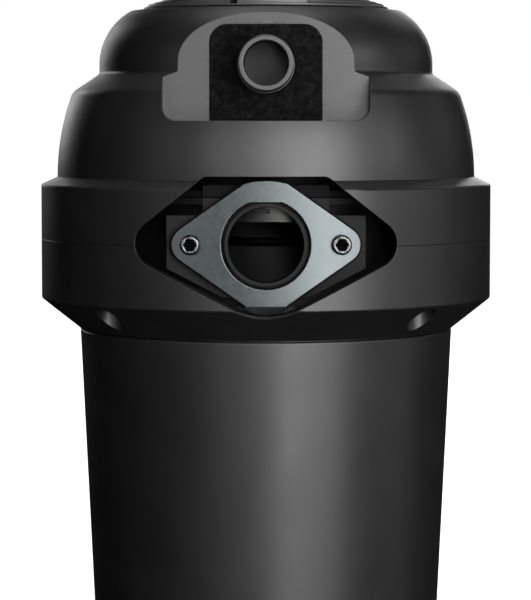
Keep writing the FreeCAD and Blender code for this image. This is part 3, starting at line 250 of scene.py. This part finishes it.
def cast_metal(name, colour, roughness=0.5):
    s = Shader(name, Metallic=1.0)
    skin = s.noise(0.9 * MM, 5.0, 0.6)
    cloud = s.noise(12 * MM, 4.0)
    base = s.ramp(cloud, (0.3, tuple(0.75 * c for c in colour)), (0.7, colour))
    return s.finish(base, s.spread(skin, roughness - 0.08, roughness + 0.1),
                    s.bump(skin, 0.08 * MM, 0.6, s.rounded(0.5 * MM)))


def laminated(name):
    """Stacked thin sheets: lines across Z."""
    s = Shader(name, Metallic=1.0)
    height = s.node("SeparateXYZ", {"Vector": s.place()}).outputs["Z"]
    wave = s.maths("SINE", s.maths("MULTIPLY", height, 2 * math.pi / (0.9 * MM)))
    cloud = s.noise(9 * MM, 5.0)
    base = s.ramp(cloud, (0.3, (0.014, 0.014, 0.0145)), (0.7, (0.034, 0.0335, 0.033)))
    return s.finish(base, s.spread(cloud, 0.4, 0.6), s.bump(wave, 0.05 * MM, 0.8))


def enamelled_copper(name):
    """Wire bundles: fine strands wound round the coil."""
    s = Shader(name, Metallic=0.9)
    strands = s.noise(0.7 * MM, 2.0, vector=s.place((1, 1, 0.25)), distortion=0.4)
    base = s.ramp(strands, (0.3, (0.03, 0.010, 0.004)), (0.7, (0.085, 0.035, 0.014)))
    return s.finish(base, s.spread(strands, 0.24, 0.42), s.bump(strands, 0.3 * MM, 0.9))


def socket_screw(name, colour, face, depth):
    """Plated screw heads whose sockets, from a depth behind their face, are painted near
    black as shade.
    """
    s = Shader(name, Metallic=1.0)
    back = s.node("SeparateXYZ", {"Vector": s.place()}).outputs["Y"]
    # painted shade: from this depth back the socket is coloured near black and dull, standing
    # in for the shadow inside the recess
    painted_socket_shade = s.spread(back, 0.0, 1.0, -face + 0.35 * depth, -face + 0.9 * depth)
    smudge = s.noise(4.0 * MM, 3.0)
    base = s.ramp(smudge, (0.35, tuple(0.85 * c for c in colour)), (0.65, colour))
    base = s.mix(painted_socket_shade, base, (0.002, 0.002, 0.002, 1))
    rough = s.blend(painted_socket_shade, s.spread(smudge, 0.2, 0.26), 0.7)
    return s.finish(base, rough, s.rounded(1.3 * MM))


def felt(name):
    """Needled felt: matted fibres, nearly black, with lighter stray fibres."""
    s = Shader(name, Specular_IOR_Level=0.04, Sheen_Weight=0.05, Sheen_Roughness=0.6,
               Sheen_Tint=(0.4, 0.4, 0.42, 1))
    matted = s.noise(0.7 * MM, 6.0, 0.7, distortion=1.6)
    clumps = s.noise(3.2 * MM, 4.0, 0.6)
    shade = s.maths("MULTIPLY", matted, s.spread(clumps, 0.75, 1.2))
    base = s.ramp(shade, (0.38, (0.001, 0.001, 0.001)), (0.56, (0.0052, 0.0052, 0.0053)),
                  (0.72, (0.016, 0.016, 0.0163)))
    return s.finish(base, 0.95, s.bump(matted, 0.35 * MM, 0.9))


def foam(name):
    s = Shader(name, Specular_IOR_Level=0.15)
    cells = s.node("TexVoronoi", {"Scale": 1 / (1.3 * MM), "Vector": s.place()})
    base = s.ramp(cells.outputs["Distance"], (0.1, (0.005, 0.005, 0.0053)),
                  (0.6, (0.017, 0.017, 0.0175)))
    return s.finish(base, 0.95, s.bump(cells.outputs["Distance"], 0.4 * MM, 0.9))


MATERIALS = {
    "shell_plastic": moulded("satin_shell", (0.0044, 0.0044, 0.0045), 0.43),
    "inlet_plastic": moulded("inlet_nylon", (0.0062, 0.0062, 0.0064), 0.42),
    "chamber_plastic": moulded("chamber_nylon", (0.0042, 0.0042, 0.0043), 0.5, 0.6,
                               specular=0.1),
    "switch_plastic": moulded("switch_body", (0.03, 0.03, 0.034), 0.45),
    "capacitor_case": moulded("capacitor_shell", (0.012, 0.012, 0.014), 0.3, 0.8),
    "red_button": moulded("red_push", (0.48, 0.012, 0.012), 0.32, 0.8),
    "cover_plate": painted("powder_coat", (0.03, 0.03, 0.032), 0.5),
    "mount_paint": painted("mount_coat", (0.022, 0.0222, 0.023), 0.42),
    "green_screw": painted("green_dye", (0.03, 0.24, 0.07), 0.38),
    "black_steel": plated_steel("black_oxide", (0.016, 0.016, 0.0165), 0.4),
    "rubber": rubber("black_rubber"),
    "zinc_plate": zinc_plate("zinc_sheet"),
    "bolt_steel": plated_steel("nickel_plate", (0.105, 0.108, 0.11), 0.3),
    "stainless": stainless("pressed_stainless"),
    "cast_alloy": cast_metal("cast_alloy_skin", (0.052, 0.053, 0.054)),
    "shaft_steel": plated_steel("ground_shaft", (0.06, 0.06, 0.06), 0.26),
    "lamination": laminated("laminated_core"),
    "copper": enamelled_copper("coil_wire"),
    "bronze": cast_metal("sintered_bronze", (0.052, 0.034, 0.015), 0.45),
    "felt": felt("needled_felt"),
    "foam": foam("cell_foam"),
}


# nodes whose finish differs a little from the rest of their slot; the screw sockets, the
# knockout plug and the grind container carry painted shade
OWN_FINISH_AND_PAINTED_SHADE = {
    "discharge_flange": zinc_plate("clamp_zinc", 0.16),
    "flange_screws": socket_screw("clamp_screw_plate", (0.13, 0.134, 0.137),
                                  97.2 * MM, 2.2 * MM),
    # painted shade: the plug is a darker, less reflective copy of the inlet nylon, standing
    # in for the shadow inside the inlet tube
    "knockout_plug": moulded("plug_nylon_painted_shade", (0.0045, 0.0045, 0.0046), 0.5, specular=0.16),
    "outlet_gasket": rubber("gasket_rubber", (0.0026, 0.0026, 0.0027)),
    # painted shade: the container is drawn as near-black plastic with almost no reflection,
    # standing in for the shadow under the shell's overhang
    "grind_container": moulded("container_painted_shade", (0.0034, 0.0034, 0.0035), 0.5, 0.6,
                               specular=0.03),
}


def dress_nodes():
    """Give every CAD node its finish, a few of them with painted shade."""
    for entry in frame["record"]["subparts"]:
        piece = NODES[entry["node"]]
        piece.data.materials.clear()
        piece.data.materials.append(
            OWN_FINISH_AND_PAINTED_SHADE.get(entry["node"], MATERIALS[entry["material_slot"]]))


# ---- soft pieces ---------------------------------------------------------------------------

def mesh_object(name, corners, faces, material):
    mesh = bpy.data.meshes.new(name)
    mesh.from_pydata(corners, [], faces)
    mesh.update()
    made = bpy.data.objects.new(name, mesh)
    bpy.context.scene.collection.objects.link(made)
    made.data.materials.append(material)
    return made


# the felt pad, in millimetres
PAD_BACK, PAD_THICKNESS = -71.25, 2.1
PAD_HALF_WIDTH, PAD_FOOT, PAD_TOP, PAD_ROUND = 26.4, 257.7, 302.6, 8.6
PAD_HOLE, PAD_CENTRE = 13.7, 283.8
PAD_STEPS, PAD_ROWS = 300, 34
FIBRES = 1600
FIBRE_RADIUS = 0.04
FIBRE_PARTS = 4
FOAM_GRID = 1.3
FOAM_CELL = 2.4


def pad_outline(count):
    """Points of the pad's outline at even steps, from the middle of its foot."""
    side, low, high, turn = PAD_HALF_WIDTH, PAD_FOOT, PAD_TOP, PAD_ROUND
    track = [(0.0, low), (side, low), (side, high - turn)]
    for k in range(1, 13):
        angle = math.pi / 2 * k / 12
        track.append((side - turn + turn * math.cos(angle),
                      high - turn + turn * math.sin(angle)))
    track += [(-x, z) for x, z in reversed(track)]
    lengths = [0.0]
    for first, second in zip(track, track[1:]):
        lengths.append(lengths[-1] + math.dist(first, second))
    points = []
    place = 0
    for k in range(count):
        want = lengths[-1] * k / count
        while lengths[place + 1] < want:
            place += 1
        share = (want - lengths[place]) / (lengths[place + 1] - lengths[place])
        points.append(tuple(a + (b - a) * share
                            for a, b in zip(track[place], track[place + 1])))
    return points


def rim(distance, radius=1.0):
    """Height of a rounded rim, 0 to 1, at a distance from its edge."""
    return math.sqrt(max(0.0, 1 - (1 - min(distance / radius, 1)) ** 2))


def pad_height(x, z, from_edge):
    """How far the felt stands off its back: matted, lumpy and round at its rims."""
    lumps = noise.noise((x / 3.1, z / 3.1, 4.0)) * 0.16
    nap = noise.noise((x / 0.9, z / 0.9, 9.0)) * 0.14
    return max(0.0, (PAD_THICKNESS - 0.3 + lumps + nap) * rim(from_edge))


def add_fibre(corners, faces, root, chance):
    """A stray fibre: a closed three-sided strand that arches out of the felt and back."""
    x, y, z = root
    heading = chance.uniform(0, 2 * math.pi)
    length = chance.uniform(0.8, 2.2)
    start = len(corners)
    for part in range(FIBRE_PARTS + 1):
        lift = 0.3 * math.sin(math.pi * part / FIBRE_PARTS) - 0.12
        for side in range(3):
            turn = 2 * math.pi * side / 3
            out = FIBRE_RADIUS * math.cos(turn)
            corners.append((x - out * math.sin(heading),
                            y - lift - FIBRE_RADIUS * math.sin(turn),
                            z + out * math.cos(heading)))
        x += length / FIBRE_PARTS * math.cos(heading)
        z += length / FIBRE_PARTS * math.sin(heading)
        heading += chance.uniform(-0.5, 0.5)
    for part in range(FIBRE_PARTS):
        for side in range(3):
            low, beside = start + 3 * part + side, start + 3 * part + (side + 1) % 3
            faces.append((low, beside, beside + 3, low + 3))
    faces.append((start + 2, start + 1, start))
    last = start + 3 * FIBRE_PARTS
    faces.append((last, last + 1, last + 2))


def inlet_felt():
    """The needled felt round the dishwasher inlet, with stray fibres on its face."""
    steps, rows = PAD_STEPS, PAD_ROWS
    outline = pad_outline(steps)
    corners = []
    for row in range(rows + 1):
        share = 0.5 - 0.5 * math.cos(math.pi * row / rows)
        for x, z in outline:
            reach = math.hypot(x, z - PAD_CENTRE)
            hole = (x / reach * PAD_HOLE, PAD_CENTRE + (z - PAD_CENTRE) / reach * PAD_HOLE)
            at = (x + (hole[0] - x) * share, z + (hole[1] - z) * share)
            across = reach - PAD_HOLE
            height = pad_height(*at, min(share, 1 - share) * across)
            corners.append((at[0], PAD_BACK - height, at[1]))
    faces = []
    for row in range(rows):
        for k in range(steps):
            here, beside = row * steps + k, row * steps + (k + 1) % steps
            faces.append((here, beside, beside + steps, here + steps))
    last = rows * steps
    for k in range(steps):
        beside = (k + 1) % steps
        faces.append((last + k, last + beside, beside, k))
    chance = random.Random(7)
    for _ in range(FIBRES):
        root = corners[chance.randrange(3, rows - 2) * steps + chance.randrange(steps)]
        add_fibre(corners, faces, root, chance)
    scaled = [tuple(MM * value for value in corner) for corner in corners]
    pad = mesh_object("inlet_felt", scaled, faces, MATERIALS["felt"])
    for face in pad.data.polygons:
        face.use_smooth = True
    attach(pad, "housing")
    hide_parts("inlet_pad")


def insulation_foam():
    """The foam between the shells, with torn open cells instead of smooth faces."""
    source = NODES["sound_insulation"]
    block = bpy.data.objects.new("insulation_foam", source.data.copy())
    block.matrix_world = source.matrix_world.copy()
    bpy.context.scene.collection.objects.link(block)
    grid = block.modifiers.new("grid", "REMESH")
    grid.mode = "VOXEL"
    size = max(block.matrix_world.to_scale())
    grid.voxel_size = FOAM_GRID * MM / size
    shape = bpy.data.meshes.new_from_object(
        block.evaluated_get(bpy.context.evaluated_depsgraph_get()))
    block.modifiers.clear()
    block.data = shape
    normals = [point.normal.copy() for point in shape.vertices]
    for point, normal in zip(shape.vertices, normals):
        place = block.matrix_world @ point.co / (FOAM_CELL * MM)
        sink = 0.12 + 0.5 * abs(noise.noise(place)) + 0.2 * abs(noise.noise(place * 2.7))
        point.co -= normal * sink * MM / size
    block.data.materials.clear()
    block.data.materials.append(MATERIALS["foam"])
    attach(block, "housing")
    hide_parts("sound_insulation")


# ---- stage, light and camera ---------------------------------------------------------------

def pale_floor():
    """A pale floor that sweeps up behind the object and all round it."""
    s = Shader("pale_stage", Specular_IOR_Level=0.0, Emission_Color=(1, 1, 1, 1),
               Emission_Strength=FLOOR_GLOW)
    cloud = s.noise(0.8, 2.0)
    base = s.ramp(cloud, (0.3, (0.86, 0.86, 0.86)), (0.7, (0.88, 0.88, 0.88)))
    material = s.finish(base, 0.9)
    flat = 0.35 * FLOOR_HALF
    sweep = 0.6 * FLOOR_HALF
    rings = [(flat * k / 4, 0.0) for k in range(5)]
    for k in range(1, 13):
        angle = math.pi / 2 * k / 12
        rings.append((flat + sweep * math.sin(angle), sweep * (1 - math.cos(angle))))
    rings.append((rings[-1][0], 1.2 * FLOOR_HALF))
    count = 64
    corners = []
    for radius, height in rings:
        for k in range(count):
            turn = 2 * math.pi * k / count
            corners.append((radius * math.cos(turn), radius * math.sin(turn),
                            height - FLOOR_GAP))
    faces = []
    for ring in range(len(rings) - 1):
        for k in range(count):
            low = ring * count + k
            beside = ring * count + (k + 1) % count
            faces.append((low, beside, beside + count, low + count))
    floor = mesh_object("pale_floor", corners, faces, material)
    for face in floor.data.polygons:
        face.use_smooth = True
    floor.visible_diffuse = False
    floor.visible_glossy = False
    floor.visible_shadow = False


# softboxes: azimuth from the front, positive to the right; level; power in watts
SOFTBOXES = (
    (6, "mid", 20.9), (26, "mid", 17.5), (38, "mid", 13.1), (70, "mid", 5.6),
    (115, "mid", 0.8), (-22, "mid", 7.6), (-55, "mid", 1.7), (-150, "mid", 4.2),
    (16, "low", 16.8), (38, "low", 8.0), (90, "low", 1.3), (-22, "low", 1.5),
    (145, "high", 1.6), (165, "mid", 3.2), (180, "mid", 7.0), (195, "mid", 1.4),
)
# level: middle height, height of the box, height that it faces
LEVELS = {"low": (-0.1, 0.8, -0.1), "mid": (0.7, 0.8, 0.7), "high": (1.6, 1.0, 0.2)}
BOX_WIDTH = 0.35
BOX_DISTANCE = 2.0


def softbox(name, spot, size, power, aim):
    light = bpy.data.lights.new(name, "AREA")
    light.shape = "RECTANGLE"
    light.size, light.size_y = size
    light.energy = power
    made = bpy.data.objects.new(name, light)
    made.location = spot
    made.rotation_euler = (Vector(aim) - made.location).to_track_quat("-Z", "Y").to_euler()
    made.visible_camera = False
    bpy.context.scene.collection.objects.link(made)


def lights():
    world = bpy.data.worlds.new("dim_room")
    world.use_nodes = True
    world.node_tree.nodes["Background"].inputs["Color"].default_value = (1, 1, 1, 1)
    world.node_tree.nodes["Background"].inputs["Strength"].default_value = ROOM_LIGHT
    bpy.context.scene.world = world
    for azimuth, level, power in SOFTBOXES:
        middle, height, aim = LEVELS[level]
        turn = math.radians(azimuth)
        spot = (BOX_DISTANCE * math.sin(turn), -BOX_DISTANCE * math.cos(turn), middle)
        softbox("box_%d_%s" % (azimuth, level), spot, (BOX_WIDTH, height), power,
                (0, 0, aim))
    softbox("box_top", (0, -0.05, 2.2), (TOP_SIZE, TOP_SIZE), TOP_POWER, (0, 0, 0.2))


def camera():
    lens = bpy.data.cameras.new("view_camera")
    lens.lens = LENS
    lens.sensor_width = SENSOR
    made = bpy.data.objects.new("view_camera", lens)
    made.location = (CAMERA_SIDE, -CAMERA_DISTANCE, CAMERA_HEIGHT)
    made.rotation_euler = (math.pi / 2 - CAMERA_PITCH, 0, 0)
    bpy.context.scene.collection.objects.link(made)
    bpy.context.scene.camera = made


dress_nodes()
inlet_felt()
insulation_foam()
pale_floor()
lights()
camera()
bpy.context.scene.view_settings.view_transform = "Standard"
